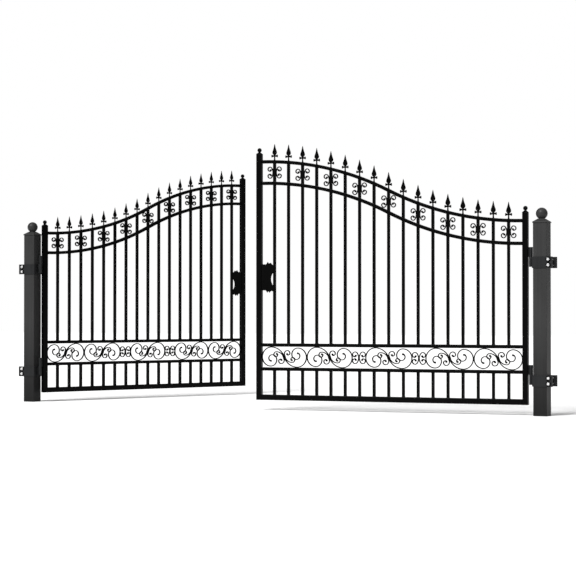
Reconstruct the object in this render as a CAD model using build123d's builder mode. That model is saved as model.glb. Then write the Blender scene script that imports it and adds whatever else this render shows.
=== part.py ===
from build123d import *
import os
from math import asin, atan2, cos, degrees, radians, sin, sqrt

os.makedirs("parts", exist_ok=True)

# Driving dimensions in millimetres and degrees.
# Frame of the object: X runs from the left post to the right post, +Y is the side the leaves
# open towards, Z is up, and the origin is the middle of the left post's foot.

# Bars of a leaf
frame_tube = 40.0
rail_tube = 25.0
picket_bar = 20.0
picket_count = 17
picket_gap = 92.0

# Heights of a leaf, from the ground up
ground_clearance = 75.0
lower_picket_length = 180.0
band_height = 155.0
picket_length_at_hinge = 710.0
arch_rise = 480.0
arch_gap = 137.0
hinge_stile_above_arch = 45.0
meeting_stile_above_arch = 45.0

# Finials of the stiles
stile_cap_height = 16.0
stile_cap_overhang = 2.0
stile_cap_top = 11.0
stile_ball = 33.0
stile_ball_seat = 2.0

# Spear points above the upper arch rail
spear_neck = 11.0
spear_depth = 14.0
spear_barb_height = 34.0
spear_barb_span = 54.0
spear_barb_drop = 12.0
spear_waist_height = 42.0
spear_blade_height = 60.0
spear_blade_span = 38.0
spear_length = 124.0

# Scrollwork: flat bar bent on edge
scroll_bar = 6.0
scroll_depth = 12.0
scroll_seat = 0.3
spiral_quarters = (68.0, 48.0, 37.0, 27.0, 19.0)
branch_lead = 60.0
branch_curl = (21.0, 17.0, 13.0, 9.0)
tail_lead = 50.0
tail_curl = (24.0, 20.0, 13.0, 9.0)
tail_straight = 8.0
collar_length = 34.0
collar_overlap = 3.0
c_scroll_height = 90.0
c_scroll_quarters = (23.0, 17.0, 13.0, 9.0)
band_c_height = 92.0
band_c_quarters = (27.0, 20.0, 15.0, 10.0)
pair_weld = 1.0
s_scroll_count = 5
s_scrolls_with_pair_after = (1, 2)

# Lock plate beside each meeting stile
lock_plate_thickness = 5.0
lock_plate_height = 204.0
lock_plate_middle = 920.0
lock_plate_waist = 26.0
lock_plate_waist_height = 108.0
lock_plate_point = 16.0
lock_plate_point_width = 37.0

# Hinges and posts
post_width = 100.0
post_eave = 1365.0
post_cap_height = 31.0
post_cap_overhang = 4.0
post_cap_lip = 8.0
post_cap_top = 42.0
post_ball = 84.0
post_ball_seat = 6.0
hinge_axis_to_stile = 19.0
hinge_axis_to_post = 31.0
barrel_diameter = 27.0
barrel_half_length = 70.0
barrel_split_gap = 0.5
pin_diameter = 14.0
pin_length = 45.0
pin_clearance = 0.1
hinge_plate = 10.0
clamp_thickness = 5.0
clamp_height = 80.0
clamp_leg = 45.0
clamp_seat = 0.3
upper_hinge_height = 1125.0
lower_hinge_height = 288.0

# Swing of the leaves from the line of the gate, towards +Y where positive
meeting_gap = 20.0
left_opening = 65.5
right_opening = -6.0

# Values worked out from the driving dimensions
picket_pitch = picket_bar + picket_gap
clear_width = picket_count * picket_bar + (picket_count + 1) * picket_gap
leaf_width = clear_width + 2 * frame_tube
post_to_axis = post_width / 2 + hinge_axis_to_post
post_spacing = 2 * (post_to_axis + hinge_axis_to_stile + leaf_width) + meeting_gap

hinge_stile_start = hinge_axis_to_stile
clear_start = hinge_stile_start + frame_tube
clear_end = clear_start + clear_width
leaf_end = clear_end + frame_tube

leaf_foot = ground_clearance
bottom_rail_top = leaf_foot + frame_tube
band_floor = bottom_rail_top + lower_picket_length + rail_tube
band_ceiling = band_floor + band_height
picket_foot = band_ceiling + rail_tube
lower_arch_level = picket_foot + picket_length_at_hinge + rail_tube / 2
upper_arch_level = lower_arch_level + arch_gap + rail_tube
hinge_stile_top = upper_arch_level + hinge_stile_above_arch + rail_tube / 2
meeting_stile_top = upper_arch_level + arch_rise + meeting_stile_above_arch + rail_tube / 2

arch_half = clear_width / 2
arch_radius = (arch_half**2 + (arch_rise / 2) ** 2) / arch_rise
arch_turn = degrees(asin(arch_half / arch_radius))
arch_steps = ((arch_radius, arch_turn), (arch_radius, -arch_turn))

picket_places = [clear_start + picket_gap + picket_bar / 2 + i * picket_pitch for i in range(picket_count)]


def leaf_plane(side):
    """The upright middle plane of a leaf: x from the hinge axis to the meeting stile, y up."""
    if side == "left":
        swing = radians(left_opening)
        return Plane((post_to_axis, 0, 0), (cos(swing), sin(swing), 0), (sin(swing), -cos(swing), 0))
    swing = radians(right_opening)
    return Plane(
        (post_spacing - post_to_axis, 0, 0),
        (-cos(swing), sin(swing), 0),
        (sin(swing), cos(swing), 0),
    )


def front_sign(side):
    """+1 where the leaf plane's normal points to the front of the gate, -1 where to the back."""
    return 1 if side == "left" else -1


def polar(distance, angle):
    """The vector of this length at this angle from the x axis."""
    return Vector(distance * cos(radians(angle)), distance * sin(radians(angle)))


def path_edge(start, heading, steps, offset):
    """Draws one edge of a bent bar, offset to the left of its middle line.

    A step is (radius, turn), an arc that bends to the left where turn is positive, or
    (length, 0), a straight run. Gives the first and the last point.
    """
    here = Vector(*start)
    first = here + polar(offset, heading + 90)
    last = first
    for size, turn in steps:
        if turn == 0:
            here = here + polar(size, heading)
            end = here + polar(offset, heading + 90)
            Line(last, end)
        else:
            side = 1 if turn > 0 else -1
            middle = here + polar(size, heading + 90 * side)
            reach = size - side * offset
            bend = middle + polar(reach, heading - 90 * side + turn / 2)
            end = middle + polar(reach, heading - 90 * side + turn)
            here = middle + polar(size, heading - 90 * side + turn)
            ThreePointArc(last, bend, end)
            heading = heading + turn
        last = end
    return first, last


def bent_bar(start, heading, steps, width):
    """Adds the face of a bar of this width that follows the steps."""
    with BuildLine() as outline:
        left_first, left_last = path_edge(start, heading, steps, width / 2)
        right_first, right_last = path_edge(start, heading, steps, -width / 2)
        Line(left_first, right_first)
        Line(left_last, right_last)
    make_face(outline.edges())


def curl(quarters, side):
    """Quarter turns of these radii, to the left for side +1 and to the right for side -1."""
    return [(radius, 90 * side) for radius in quarters]


def arch_height(along):
    """Rise of an arch rail's middle line above its hinge end, at this distance from the axis."""
    run = min(max(along - clear_start, 0), clear_width)
    if run < arch_half:
        return arch_radius - sqrt(arch_radius**2 - run**2)
    run = clear_width - run
    return arch_rise - arch_radius + sqrt(arch_radius**2 - run**2)


def region_under_arch(floor, level):
    """Keeps what lies between a level line and the underside of the arch rail at this level."""
    with BuildLine() as outline:
        first, last = path_edge((clear_start, level), 0, arch_steps, -rail_tube / 2)
        Polyline(first, (clear_start, floor), (clear_end, floor), last)
    make_face(outline.edges(), mode=Mode.INTERSECT)


def region_over_arch(level, ceiling):
    """Keeps what lies between the top of the arch rail at this level and a level line."""
    with BuildLine() as outline:
        first, last = path_edge((clear_start, level), 0, arch_steps, rail_tube / 2)
        Polyline(first, (clear_start, ceiling), (clear_end, ceiling), last)
    make_face(outline.edges(), mode=Mode.INTERSECT)


def half_disc(middle, diameter):
    """The face of half a ball's section, on the y axis and centred at this height."""
    with BuildLine() as outline:
        CenterArc((0, middle), diameter / 2, -90, 180)
        Line((0, middle - diameter / 2), (0, middle + diameter / 2))
    return make_face(outline.edges(), mode=Mode.PRIVATE)


def finish(builder, name):
    """Names a finished sub-part and writes it."""
    builder.part.label = name
    export_step(builder.part, f"parts/{name}.step")


def c_scroll_face(back, height, quarters):
    """The face of an upright C that opens towards +x, with a curl of these quarters at each end.

    The middle of its back bar is at this distance from the y axis.
    """
    straight = (height - scroll_bar) / 2 - quarters[0]
    with BuildSketch() as c_face:
        bent_bar((back, 0), 90, [(straight, 0)] + curl(quarters, -1), scroll_bar)
        mirror(about=Plane.XZ)
    return c_face.sketch


def c_pair_face():
    """The face of two C-scrolls of the lower band, welded back to back."""
    half = c_scroll_face(pair_back, band_c_height, band_c_quarters)
    with BuildSketch() as pair:
        add(half)
        add(half.rotate(Axis.Z, 180))
    return pair.sketch


pair_back = (scroll_bar - pair_weld) / 2
upper_c_face = c_scroll_face(scroll_bar / 2, c_scroll_height, c_scroll_quarters)
band_pair_face = c_pair_face()

# Lower band: S-scrolls of one width, with a pair of C-scrolls in two of the gaps between them.
# The curls of a pair rest against the outer turns of the S-scrolls beside it.
s_radius = (band_height - scroll_bar) / 2 - scroll_seat
band_curl_height = (band_c_height - scroll_bar) / 2 - band_c_quarters[1]
band_curl_reach = sqrt((band_c_quarters[1] + s_radius + scroll_bar + scroll_seat) ** 2 - band_curl_height**2)
pair_half_width = pair_back + band_c_quarters[0] + band_curl_reach - s_radius - scroll_bar / 2 - scroll_seat
pairs_width = 2 * pair_half_width * len(s_scrolls_with_pair_after)
s_unit_width = (clear_width - pairs_width) / s_scroll_count
s_half_run = s_unit_width / 2 - s_radius - scroll_bar / 2 - scroll_seat
s_lean = 2 * degrees(atan2(s_radius, s_half_run))
s_lead = s_half_run / sin(radians(s_lean))
band_middle = (band_floor + band_ceiling) / 2


def s_scroll_faces():
    """The faces of an S-scroll with its two branches, and of the collar that binds them."""
    spine = 180 + s_lean
    with BuildSketch() as bars:
        bent_bar((0, 0), spine, [(s_lead, -s_lean)] + curl((s_radius,) + spiral_quarters, -1), scroll_bar)
        beside = polar(scroll_bar, spine + 90)
        rise = [(branch_lead, -s_lean)] + curl(branch_curl, -1)
        bent_bar(beside, spine - 180, rise, scroll_bar)
        fall = [(tail_straight, 0), (tail_lead, 90 - s_lean)] + curl(tail_curl, 1)
        bent_bar(beside, spine, fall, scroll_bar)
        add(bars.sketch.rotate(Axis.Z, 180))
    with BuildSketch() as collar:
        Rectangle(collar_length, 3 * scroll_bar + collar_overlap, rotation=spine)
    return bars.sketch, collar.sketch


s_face, collar_face = s_scroll_faces()

s_places = []
pair_places = []
filled_to = clear_start
for unit in range(s_scroll_count):
    s_places.append((filled_to + s_unit_width / 2, band_middle))
    filled_to += s_unit_width
    if unit in s_scrolls_with_pair_after:
        pair_places.append((filled_to + pair_half_width, band_middle))
        filled_to += 2 * pair_half_width


def make_leaf(side):
    """Builds and writes the sub-parts of one leaf."""
    plane = leaf_plane(side)
    front = front_sign(side)

    # Stiles: the tubes at the hinge end and at the meeting end
    stiles = (
        ("hinge", hinge_stile_start + frame_tube / 2, hinge_stile_top),
        ("meeting", leaf_end - frame_tube / 2, meeting_stile_top),
    )
    for stile_name, along, top in stiles:
        with BuildPart() as stile:
            with BuildSketch(plane):
                with Locations((along, (leaf_foot + top) / 2)):
                    Rectangle(frame_tube, top - leaf_foot)
            extrude(amount=frame_tube / 2, both=True)
        finish(stile, f"{side}_{stile_name}_stile")

    # Finials: a low pyramid and a ball on top of each stile
    cap_width = frame_tube + 2 * stile_cap_overhang
    ball_middle = stile_cap_height + stile_ball / 2 - stile_ball_seat
    with BuildPart() as finials:
        for _, along, top in stiles:
            axis_foot = plane.from_local_coords((along, top, 0))
            level = Plane(axis_foot, plane.x_dir, (0, 0, 1))
            with BuildSketch(level):
                Rectangle(cap_width, cap_width)
            with BuildSketch(level.offset(stile_cap_height)):
                Rectangle(stile_cap_top, stile_cap_top)
            loft(ruled=True)
            with BuildSketch(Plane(axis_foot, plane.x_dir, plane.z_dir)):
                add(half_disc(ball_middle, stile_ball))
            revolve(axis=Axis(axis_foot, (0, 0, 1)))
    finish(finials, f"{side}_stile_finials")

    # Straight rails between the stiles
    straight_rails = (
        ("bottom_rail", leaf_foot, frame_tube),
        ("band_bottom_rail", band_floor - rail_tube, rail_tube),
        ("band_top_rail", band_ceiling, rail_tube),
    )
    for rail_name, foot, size in straight_rails:
        with BuildPart() as rail:
            with BuildSketch(plane):
                with Locations((clear_start + clear_width / 2, foot + size / 2)):
                    Rectangle(clear_width, size)
            extrude(amount=size / 2, both=True)
        finish(rail, f"{side}_{rail_name}")

    # Arch rails: two equal arcs, level at both ends
    for rail_name, level in (("lower_arch_rail", lower_arch_level), ("upper_arch_rail", upper_arch_level)):
        with BuildPart() as arch:
            with BuildSketch(plane):
                bent_bar((clear_start, level), 0, arch_steps, rail_tube)
            extrude(amount=rail_tube / 2, both=True)
        finish(arch, f"{side}_{rail_name}")

    # Pickets: below the scroll band, from the band to the lower arch, and between the arches
    with BuildPart() as pickets:
        with BuildSketch(plane):
            with Locations(*[(u, bottom_rail_top + lower_picket_length / 2) for u in picket_places]):
                Rectangle(picket_bar, lower_picket_length)
        extrude(amount=picket_bar / 2, both=True)
        with BuildSketch(plane):
            with Locations(*[(u, meeting_stile_top / 2) for u in picket_places]):
                Rectangle(picket_bar, meeting_stile_top)
            region_under_arch(picket_foot, lower_arch_level)
        extrude(amount=picket_bar / 2, both=True)
        with BuildSketch(plane):
            with Locations(*[(u, meeting_stile_top / 2) for u in picket_places]):
                Rectangle(picket_bar, meeting_stile_top)
            region_over_arch(lower_arch_level, meeting_stile_top)
            region_under_arch(picket_foot, upper_arch_level)
        extrude(amount=picket_bar / 2, both=True)
    finish(pickets, f"{side}_pickets")

    # Spear points: a neck, two barbs that hook down and a pointed blade
    neck = spear_neck / 2
    half_outline = (
        (neck, -rail_tube),
        (neck, spear_barb_height - spear_barb_drop / 2),
        (spear_barb_span / 2, spear_barb_height - spear_barb_drop),
        (neck, spear_waist_height),
        (spear_blade_span / 2, spear_blade_height),
        (0, spear_length),
    )
    with BuildPart() as spears:
        with BuildSketch(plane):
            for u in picket_places:
                seat = upper_arch_level + arch_height(u) + rail_tube / 2
                right = [(u + x, seat + y) for x, y in half_outline]
                left = [(u - x, seat + y) for x, y in reversed(half_outline[:-1])]
                with BuildLine():
                    Polyline(*right, *left, close=True)
                make_face()
            region_over_arch(upper_arch_level, meeting_stile_top + spear_length)
        extrude(amount=spear_depth / 2, both=True)
    finish(spears, f"{side}_spear_points")

    # C-scrolls between the arch rails, one on each side of every other picket
    with BuildPart() as c_scrolls:
        with BuildSketch(plane):
            for u in picket_places[::2]:
                middle = upper_arch_level + arch_height(u) - (arch_gap + rail_tube) / 2
                right_face = u + picket_bar / 2
                left_face = u - picket_bar / 2
                with Locations((right_face, middle), Location((left_face, middle, 0), (0, 0, 180))):
                    add(upper_c_face)
        extrude(amount=scroll_depth / 2, both=True)
    finish(c_scrolls, f"{side}_arch_c_scrolls")

    # S-scrolls and paired C-scrolls of the lower band
    with BuildPart() as s_scrolls:
        with BuildSketch(plane):
            with Locations(*s_places):
                add(s_face)
        extrude(amount=scroll_depth / 2, both=True)
        with BuildSketch(plane):
            with Locations(*s_places):
                add(collar_face)
        extrude(amount=scroll_depth / 2 + collar_overlap, both=True)
    finish(s_scrolls, f"{side}_band_s_scrolls")

    with BuildPart() as band_pairs:
        with BuildSketch(plane):
            with Locations(*pair_places):
                add(band_pair_face)
        extrude(amount=scroll_depth / 2, both=True)
    finish(band_pairs, f"{side}_band_c_scrolls")

    # Lock plate on the front of the last picket, against the side of the meeting stile
    plate_start = clear_end - picket_gap - picket_bar
    middle = leaf_foot + lock_plate_middle
    half_waist = lock_plate_waist_height / 2
    tip = lock_plate_height / 2
    shoulder = tip - lock_plate_point
    point_middle = (plate_start + clear_end) / 2
    point_half = lock_plate_point_width / 2
    with BuildPart() as lock_plate:
        with BuildSketch(plane.offset(front * picket_bar / 2)):
            with BuildLine():
                ThreePointArc(
                    (plate_start, middle - half_waist),
                    (plate_start + lock_plate_waist, middle),
                    (plate_start, middle + half_waist),
                )
                Polyline(
                    (plate_start, middle + half_waist),
                    (plate_start, middle + shoulder),
                    (point_middle - point_half, middle + shoulder),
                    (point_middle, middle + tip),
                    (point_middle + point_half, middle + shoulder),
                    (clear_end, middle + shoulder),
                    (clear_end, middle - shoulder),
                    (point_middle + point_half, middle - shoulder),
                    (point_middle, middle - tip),
                    (point_middle - point_half, middle - shoulder),
                    (plate_start, middle - shoulder),
                    (plate_start, middle - half_waist),
                )
            make_face()
        extrude(amount=front * lock_plate_thickness)
    finish(lock_plate, f"{side}_lock_plate")

    # Leaf halves of the hinges: a bored barrel with a short plate to the stile
    for hinge_name, split in (("upper", upper_hinge_height), ("lower", lower_hinge_height)):
        foot = split + barrel_split_gap
        level = Plane(plane.from_local_coords((0, foot, 0)), plane.x_dir, (0, 0, 1))
        bore = pin_diameter / 2 + pin_clearance
        with BuildPart() as knuckle:
            with BuildSketch(level):
                Circle(barrel_diameter / 2)
                with Locations((hinge_axis_to_stile / 2, 0)):
                    Rectangle(hinge_axis_to_stile, hinge_plate)
            extrude(amount=barrel_half_length)
            with BuildSketch(level):
                Circle(bore)
            extrude(amount=pin_length, mode=Mode.SUBTRACT)
        finish(knuckle, f"{side}_{hinge_name}_hinge_knuckle")


def make_post(side):
    """Builds and writes a post and its two hinge clamps."""
    inward = 1 if side == "left" else -1
    middle = 0 if side == "left" else post_spacing

    with BuildPart() as post:
        with BuildSketch(Plane((middle, 0, 0))):
            Rectangle(post_width, post_width)
        extrude(amount=post_eave)
    finish(post, f"{side}_post")

    # Clamps: a strap round three sides of the post whose legs reach past the outer side, the
    # lower half of the barrel on the inner side and the pin that the leaf turns on
    strap_inner = post_width + 2 * clamp_seat
    strap_outer = strap_inner + 2 * clamp_thickness
    leg_end = post_width / 2 + clamp_leg
    axis_x = middle + inward * post_to_axis
    for hinge_name, split in (("upper", upper_hinge_height), ("lower", lower_hinge_height)):
        foot = split - barrel_half_length
        strap_foot = split - clamp_height
        with BuildPart() as clamp:
            with BuildSketch(Plane((middle, 0, strap_foot))):
                with Locations((inward * (strap_outer / 2 - leg_end) / 2, 0)):
                    Rectangle(strap_outer / 2 + leg_end, strap_outer)
                with Locations((inward * (strap_inner / 2 - leg_end) / 2, 0)):
                    Rectangle(strap_inner / 2 + leg_end, strap_inner, mode=Mode.SUBTRACT)
            extrude(amount=clamp_height)
            with BuildSketch(Plane((axis_x, 0, foot))):
                Circle(barrel_diameter / 2)
                arm = hinge_axis_to_post - clamp_thickness - clamp_seat
                with Locations((-inward * arm / 2, 0)):
                    Rectangle(arm, hinge_plate)
            extrude(amount=barrel_half_length)
            with BuildSketch(Plane((axis_x, 0, split))):
                Circle(pin_diameter / 2)
            extrude(amount=pin_length)
        finish(clamp, f"{side}_{hinge_name}_hinge_clamp")


for gate_side in ("left", "right"):
    make_post(gate_side)
    make_leaf(gate_side)

# Post caps: a lip, a low pyramid and a ball
post_cap_width = post_width + 2 * post_cap_overhang
post_ball_middle = post_eave + post_cap_height - post_ball_seat + post_ball / 2
with BuildPart() as post_caps:
    for post_x in (0, post_spacing):
        with BuildSketch(Plane((post_x, 0, post_eave))):
            Rectangle(post_cap_width, post_cap_width)
        extrude(amount=post_cap_lip)
        with BuildSketch(Plane((post_x, 0, post_eave + post_cap_lip))):
            Rectangle(post_cap_width, post_cap_width)
        with BuildSketch(Plane((post_x, 0, post_eave + post_cap_height))):
            Rectangle(post_cap_top, post_cap_top)
        loft(ruled=True)
        with BuildSketch(Plane((post_x, 0, 0), (1, 0, 0), (0, -1, 0))):
            add(half_disc(post_ball_middle, post_ball))
        revolve(axis=Axis((post_x, 0, 0), (0, 0, 1)))
finish(post_caps, "post_caps")
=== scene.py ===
"""Looks of a double swing driveway gate: finishes, scrollwork, spear points, welds and clamp bolts.

Lengths are metres in the frame of the solids: X runs from the left post to the right post, +Y is the side
that the leaves open towards, Z is up, and the origin is the middle of the left post's foot.
"""

import logging
import math
from dataclasses import dataclass, field
from enum import Enum

import bmesh
import bpy
import numpy as np
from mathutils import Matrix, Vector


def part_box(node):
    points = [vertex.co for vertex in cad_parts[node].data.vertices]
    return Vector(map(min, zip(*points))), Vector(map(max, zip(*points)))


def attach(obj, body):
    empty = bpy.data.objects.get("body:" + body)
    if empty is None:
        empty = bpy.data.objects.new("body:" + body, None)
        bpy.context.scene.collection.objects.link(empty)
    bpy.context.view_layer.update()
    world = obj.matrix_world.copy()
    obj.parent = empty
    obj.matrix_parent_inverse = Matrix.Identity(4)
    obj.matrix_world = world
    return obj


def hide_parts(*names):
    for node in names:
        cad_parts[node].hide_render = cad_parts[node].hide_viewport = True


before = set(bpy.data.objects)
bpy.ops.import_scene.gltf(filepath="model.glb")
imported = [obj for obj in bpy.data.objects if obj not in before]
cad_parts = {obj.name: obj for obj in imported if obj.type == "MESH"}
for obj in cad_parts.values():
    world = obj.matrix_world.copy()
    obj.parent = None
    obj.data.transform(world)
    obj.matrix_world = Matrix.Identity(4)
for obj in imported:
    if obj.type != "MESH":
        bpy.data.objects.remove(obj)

log = logging.getLogger("gate")
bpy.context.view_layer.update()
SAME_POINT = 1e-6
Steps = list[tuple[float, float]]


class Side(Enum):
    """The two halves of the gate, with the way from a post to the driveway along X."""

    LEFT = 1
    RIGHT = -1

    @property
    def word(self) -> str:
        """The word that the node names of this half start with."""
        return self.name.lower()


class Socket:
    """A shader value that takes part in Python maths and adds its own Math nodes."""

    def __init__(self, shader: "Shader", output: bpy.types.NodeSocket) -> None:
        """Keeps the material builder and the output that the value comes from."""
        self.shader = shader
        self.output = output

    def _math(self, operation: str, *values: "Socket | float") -> "Socket":
        """Adds one Math node on these values and gives its result."""
        node = self.shader.node("ShaderNodeMath", {"operation": operation}, dict(enumerate(values)))
        return Socket(self.shader, node.outputs[0])

    def __add__(self, other: "Socket | float") -> "Socket":
        """Sum of the two values."""
        return self._math("ADD", self, other)

    __radd__ = __add__

    def __mul__(self, other: "Socket | float") -> "Socket":
        """Product of the two values."""
        return self._math("MULTIPLY", self, other)

    __rmul__ = __mul__

    def __sub__(self, other: "Socket | float") -> "Socket":
        """This value less the other."""
        return self._math("SUBTRACT", self, other)

    def __rsub__(self, other: "Socket | float") -> "Socket":
        """The other value less this one."""
        return self._math("SUBTRACT", other, self)

    def __pow__(self, other: float) -> "Socket":
        """This value to a power."""
        return self._math("POWER", self, other)

    def clamped(self, low: float, high: float) -> "Socket":
        """This value stretched so that low becomes 0 and high becomes 1, held inside that range."""
        inputs = {"Value": self, "From Min": low, "From Max": high}
        node = self.shader.node("ShaderNodeMapRange", {"clamp": True}, inputs)
        return Socket(self.shader, node.outputs[0])


class Shader:
    """A node material under construction."""

    def __init__(self, name: str) -> None:
        """Starts a material that has a Principled BSDF and its output."""
        self.material = bpy.data.materials.new(name)
        self.material.use_nodes = True
        self.tree = self.material.node_tree
        self.tree.nodes.clear()
        self.surface = self.node("ShaderNodeBsdfPrincipled")
        self.node("ShaderNodeOutputMaterial", inputs={"Surface": self.surface.outputs[0]})
        self.place = self.node("ShaderNodeTexCoord").outputs["Object"]

    def node(
        self,
        kind: str,
        settings: dict[str, object] | None = None,
        inputs: dict[str | int, object] | None = None,
    ) -> bpy.types.Node:
        """Adds one node.

        Args:
            kind: Blender's name of the node type.
            settings: Properties of the node, set before its inputs.
            inputs: Values or links of its input sockets, by name or number.

        Returns:
            The node.
        """
        node = self.tree.nodes.new(kind)
        for key, value in (settings or {}).items():
            setattr(node, key, value)
        for key, value in (inputs or {}).items():
            self.plug(node.inputs[key], value)
        return node

    def plug(self, socket: bpy.types.NodeSocket, value: object) -> None:
        """Links a value to an input, or sets the input where the value is a constant.

        Args:
            socket: The input.
            value: A shader value, another node's output or a constant.
        """
        source = value.output if isinstance(value, Socket) else value
        if isinstance(source, bpy.types.NodeSocket):
            self.tree.links.new(source, socket)
        else:
            socket.default_value = source

    def noise(self, scale: float, detail: float, stretch: tuple[float, float, float] | None = None) -> Socket:
        """Noise over the piece.

        Args:
            scale: Waves per metre.
            detail: Octaves of finer noise.
            stretch: Factors on the three axes, for streaks.

        Returns:
            The noise value, about 0 to 1.
        """
        place = self.place
        if stretch:
            place = self.node("ShaderNodeMapping", inputs={"Vector": place, "Scale": stretch}).outputs[0]
        node = self.node("ShaderNodeTexNoise", inputs={"Vector": place, "Scale": scale, "Detail": detail})
        return Socket(self, node.outputs[0])

    def axis(self, output: bpy.types.NodeSocket, letter: str) -> Socket:
        """One component of a vector."""
        return Socket(self, self.node("ShaderNodeSeparateXYZ", inputs={0: output}).outputs[letter])

    def facing_up(self) -> Socket:
        """How far the surface faces the sky, from -1 to 1."""
        return self.axis(self.node("ShaderNodeNewGeometry").outputs["Normal"], "Z")

    def blend(self, factor: Socket, first: object, second: object) -> bpy.types.NodeSocket:
        """Mixes two colours.

        Args:
            factor: 0 for the first colour, 1 for the second.
            first: A colour or a link to one.
            second: A colour or a link to one.

        Returns:
            The mixed colour's output.
        """
        mix = self.node("ShaderNodeMix", {"data_type": "RGBA"}, {0: factor, 6: first, 7: second})
        return mix.outputs[2]

    def bump(self, height: Socket, strength: float, distance: float) -> None:
        """Bends the surface's normal by a height map."""
        values = {"Height": height, "Strength": strength, "Distance": distance}
        self.set(Normal=self.node("ShaderNodeBump", inputs=values).outputs[0])

    def set(self, **values: object) -> None:
        """Sets or links inputs of the BSDF, with _ in place of a space in their names."""
        for key, value in values.items():
            self.plug(self.surface.inputs[key.replace("_", " ")], value)


def grey(tone: float, warmth: float = 0.0) -> tuple[float, float, float, float]:
    """A grey of this linear tone, warmer for a positive warmth and bluer for a negative one."""
    return (tone * (1 + warmth), tone, tone * (1 - warmth), 1.0)


@dataclass(frozen=True)
class PowderCoat:
    """A baked powder coat with fine peel, uneven gloss, rain marks, a little settled dust and painted shade
    that darkens it towards the ground.
    """

    name: str
    tone: float
    roughness: float
    gloss: float
    dust: float
    warmth: float = 0.0
    splash: float = 0.0
    # Share of the tone taken away at the ground as painted shade, fading out by foot_height.
    painted_foot_shade: float = 0.0
    foot_height: float = 0.65
    splash_height: float = 0.35
    splash_range: tuple[float, float] = (0.45, 0.75)
    peel_scale: float = 620.0
    peel_depth: float = 0.00012
    peel_strength: float = 0.35
    grain_scale: float = 90.0
    grain_share: float = 0.6
    cloud_scale: float = 5.0
    cloud_range: tuple[float, float] = (0.25, 0.75)
    rain: float = 0.5
    rain_scale: float = 55.0
    rain_stretch: tuple[float, float, float] = (1.0, 1.0, 0.03)
    rain_range: tuple[float, float] = (0.36, 0.66)
    uneven: float = 0.16
    speck: float = 1.35
    speck_range: tuple[float, float] = (0.58, 0.8)
    dust_cover: float = 8.0
    dust_warmth: float = 0.06
    dust_slope: tuple[float, float] = (0.35, 1.0)
    dust_range: tuple[float, float] = (0.3, 0.75)
    dull_patches: float = 0.12
    dull_peel: float = 0.10
    dull_soil: float = 0.25

    def make(self) -> bpy.types.Material:
        """Builds the node material.

        Returns:
            The material, on Object coordinates.
        """
        shader = Shader(self.name)
        peel = shader.noise(self.peel_scale, detail=2.0)
        cloud = shader.noise(self.cloud_scale, detail=4.0)
        grain = shader.noise(self.grain_scale, detail=3.0)
        runs = shader.noise(self.rain_scale, detail=3.0, stretch=self.rain_stretch).clamped(*self.rain_range)
        settle = shader.facing_up().clamped(*self.dust_slope) * cloud.clamped(*self.dust_range)
        height = shader.axis(shader.place, "Z")
        near_ground = (1 - height.clamped(0.0, self.splash_height)) ** 2.0
        dried = near_ground * grain.clamped(*self.splash_range) * self.splash
        soil = settle * self.dust * self.dust_cover + dried
        patchy = cloud.clamped(*self.cloud_range) * (1 - self.rain) + runs * self.rain
        dark, light = (grey(self.tone * (1 + way * self.uneven), self.warmth) for way in (-1, 1))
        even = shader.blend(patchy, dark, light)
        speck = grey(self.tone * self.speck, self.warmth)
        specked = shader.blend(peel.clamped(*self.speck_range), even, speck)
        dusty = shader.blend(soil.clamped(0.0, 1.0), specked, grey(self.tone + self.dust, self.dust_warmth))
        # Painted shade: the base colour is darkened towards the ground, standing in for the shade that falls
        # low on the posts.
        foot = (1 - height.clamped(0.0, self.foot_height)) * self.painted_foot_shade
        dull = (patchy - 0.5) * self.dull_patches + (peel - 0.5) * self.dull_peel + soil * self.dull_soil
        shader.set(
            Base_Color=shader.blend(foot, dusty, grey(0.0)),
            Roughness=self.roughness + dull,
            Metallic=0.0,
            Specular_IOR_Level=self.gloss,
        )
        shader.bump(peel + grain * self.grain_share, self.peel_strength, self.peel_depth)
        return shader.material


@dataclass(frozen=True)
class BrightZinc:
    """Zinc plate on fasteners: pale metal with a faint spangle and dull patches."""

    name: str
    tone: float = 0.78
    roughness: float = 0.34
    metal: float = 0.75
    patch_scale: float = 60.0
    patch_range: tuple[float, float] = (0.3, 0.7)
    dull: float = 0.84
    bright: float = 1.1
    tint: float = 0.02
    dull_patches: float = 0.24
    spangle_scale: float = 420.0
    spangle_range: tuple[float, float] = (0.5, 0.75)
    spangle: float = 1.2
    spangle_strength: float = 0.2
    spangle_depth: float = 0.00008

    def make(self) -> bpy.types.Material:
        """Builds the node material.

        Returns:
            The material, on Object coordinates.
        """
        shader = Shader(self.name)
        spangle = shader.noise(self.spangle_scale, detail=3.0)
        patch = shader.noise(self.patch_scale, detail=2.0)
        dull, bright = grey(self.tone * self.dull, -self.tint), grey(self.tone * self.bright, self.tint)
        plate = shader.blend(patch.clamped(*self.patch_range), dull, bright)
        spark = grey(self.tone * self.spangle)
        shader.set(
            Base_Color=shader.blend(spangle.clamped(*self.spangle_range), plate, spark),
            Roughness=self.roughness + (patch - 0.5) * self.dull_patches,
            Metallic=self.metal,
        )
        shader.bump(spangle, self.spangle_strength, self.spangle_depth)
        return shader.material


def ring_faces(copies: int, rows: int, columns: int) -> np.ndarray:
    """Quads of grids whose columns close into rings.

    Args:
        copies: Number of separate grids, one after the other.
        rows: Rings of a grid.
        columns: Points of a ring.

    Returns:
        Corner numbers, four to a row.
    """
    ring = np.arange(rows - 1)[:, None] * columns
    here = np.arange(columns)[None, :]
    beside = (here + 1) % columns
    one = np.stack([ring + here, ring + beside, ring + columns + beside, ring + columns + here], axis=-1)
    start = np.arange(copies)[:, None, None] * (rows * columns)
    return (one.reshape(1, -1, 4) + start).reshape(-1, 4)


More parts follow.
